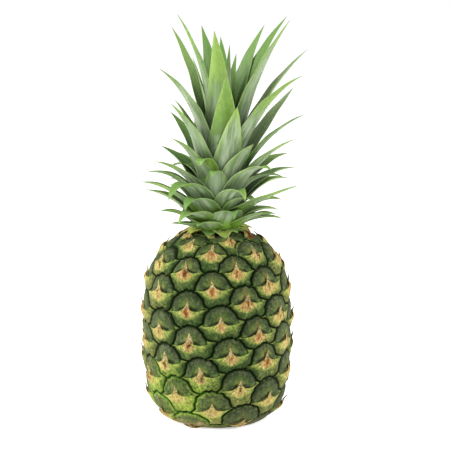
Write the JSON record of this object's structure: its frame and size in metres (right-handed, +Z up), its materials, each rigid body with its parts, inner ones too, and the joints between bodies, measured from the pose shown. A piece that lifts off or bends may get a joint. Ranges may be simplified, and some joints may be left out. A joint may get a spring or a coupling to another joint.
{
  "type": "pineapple",
  "caption": "Whole fresh pineapple standing on its cut base, with swollen eyes in spiral rows and a crown of long arching leaves.",
  "frame": {"origin": "middle of the flat base, on the surface the fruit stands on", "axes": "+Z up along the fruit towards the crown, -Y towards the front, +X to the right seen from the front"},
  "size_m": [0.1255, 0.1166, 0.3034],
  "materials": {
    "rind": "waxy green rind with a grey bloom and straw-coloured dry bract tips",
    "leaf": "satin green leaf with a silvery bloom",
    "cut_stem": "dry fibrous cut end"
  },
  "bodies": {
    "root": {"fruit": "rind", "crown": "leaf", "cut_stem": "cut_stem"}
  },
  "joints": []
}
